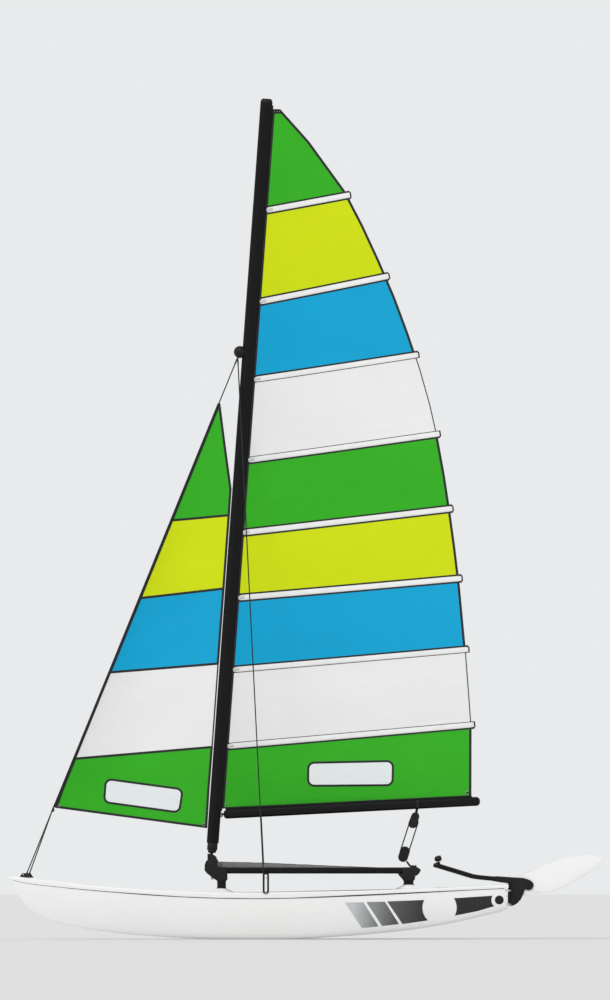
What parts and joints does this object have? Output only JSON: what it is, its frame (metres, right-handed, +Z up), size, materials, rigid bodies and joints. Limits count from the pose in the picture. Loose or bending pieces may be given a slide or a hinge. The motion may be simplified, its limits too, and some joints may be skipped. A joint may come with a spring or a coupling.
{
  "type": "beach catamaran",
  "caption": "Two-hulled beach catamaran with rotating mast, striped battened mainsail and jib, trampoline between the hulls and kick-up rudders, parked on its hulls.",
  "frame": {"origin": "bottom centre of the whole boat: midway between the bows and the raised blades' tips, on the centreline, at the height of the keels", "axes": "+X forward to the bows, +Y to port, +Z up"},
  "size_m": [6.0088, 2.421, 8.5422],
  "materials": {
    "gelcoat": "polished white gelcoat",
    "deck_gelcoat": "white gelcoat with non-slip panels",
    "black_alloy": "black anodised alloy",
    "black_casting": "black powder-coated casting",
    "trampoline_mesh": "woven grey mesh",
    "sailcloth": "striped woven polyester sailcloth",
    "batten_white": "white pockets and black end caps",
    "steel_wire": "stainless wire",
    "stainless": "polished stainless fittings",
    "block_black": "black moulded block",
    "blade_white": "white moulded blade"
  },
  "bodies": {
    "root": {"hull_port": "gelcoat", "hull_starboard": "gelcoat", "deck_port": "deck_gelcoat", "deck_starboard": "deck_gelcoat", "front_pylons": "black_alloy", "rear_pylons": "black_alloy", "front_casting_port": "black_casting", "front_casting_starboard": "black_casting", "rear_casting_port": "black_casting", "rear_casting_starboard": "black_casting", "front_crossbar": "black_alloy", "rear_crossbar": "black_alloy", "side_rail_port": "black_alloy", "side_rail_starboard": "black_alloy", "dolphin_striker": "stainless", "mast_step": "black_casting", "trampoline_port": "trampoline_mesh", "trampoline_starboard": "trampoline_mesh", "forestay": "steel_wire", "bridle_port": "steel_wire", "bridle_starboard": "steel_wire", "bow_tangs": "stainless", "shroud_port": "steel_wire", "shroud_starboard": "steel_wire", "shroud_adjuster_port": "stainless", "shroud_adjuster_starboard": "stainless", "jib": "sailcloth", "jib_blocks": "block_black", "traveller_track": "black_alloy", "traveller_car": "block_black", "gudgeons_port": "stainless", "gudgeons_starboard": "stainless"},
    "mast": {"mast": "black_alloy", "mast_base": "block_black", "mast_head": "block_black", "mast_tang": "black_casting", "gooseneck": "stainless"},
    "boom": {"boom": "black_alloy", "boom_ends": "block_black", "mainsail": "sailcloth", "mainsail_battens": "batten_white", "mainsheet_upper_block": "block_black", "mainsheet_lower_block": "block_black"},
    "rudder_port": {"rudder_casting_port": "black_casting", "tiller_arm_port": "black_alloy"},
    "rudder_starboard": {"rudder_casting_starboard": "black_casting", "tiller_arm_starboard": "black_alloy"},
    "blade_port": {"rudder_blade_port": "blade_white"},
    "blade_starboard": {"rudder_blade_starboard": "blade_white"},
    "tiller_bar": {"tiller_crossbar": "black_alloy", "tiller_extension": "block_black"}
  },
  "joints": [
    {"name": "mast_rotation", "type": "hinge", "parent": "root", "child": "mast", "pos_m": [0.94841, 0, 0.88515], "axis": [-0.0564, 0, 0.9984], "range_deg": [-30, 30]},
    {"name": "boom_swing", "type": "hinge", "parent": "mast", "child": "boom", "pos_m": [0.84327, 0, 1.26128], "axis": [-0.0725, 0, 0.9974], "range_deg": [-27, 27]},
    {"name": "rudder_port_steer", "type": "hinge", "parent": "root", "child": "rudder_port", "pos_m": [-2.08959, 1.062, 0.40115], "axis": [0, 0, 1], "range_deg": [-35, 35]},
    {"name": "rudder_starboard_steer", "type": "hinge", "parent": "root", "child": "rudder_starboard", "pos_m": [-2.08959, -1.062, 0.40115], "axis": [0, 0, 1], "range_deg": [-35, 35]},
    {"name": "tiller_crossbar_pivot", "type": "hinge", "parent": "rudder_port", "child": "tiller_bar", "pos_m": [-1.35159, 1.062, 0.81515], "axis": [0, 0, 1], "range_deg": [-35, 35]},
    {"name": "blade_port_kickup", "type": "hinge", "parent": "rudder_port", "child": "blade_port", "pos_m": [-2.18559, 1.062, 0.50615], "axis": [0, 1, 0], "range_deg": [-105, 0]},
    {"name": "blade_starboard_kickup", "type": "hinge", "parent": "rudder_starboard", "child": "blade_starboard", "pos_m": [-2.18559, -1.062, 0.50615], "axis": [0, 1, 0], "range_deg": [-105, 0]}
  ],
  "couplings": [
    {"joint": "boom_swing", "follows": "mast_rotation", "ratio": 0.9},
    {"joint": "rudder_starboard_steer", "follows": "rudder_port_steer", "ratio": 1},
    {"joint": "tiller_crossbar_pivot", "follows": "rudder_port_steer", "ratio": -1}
  ]
}
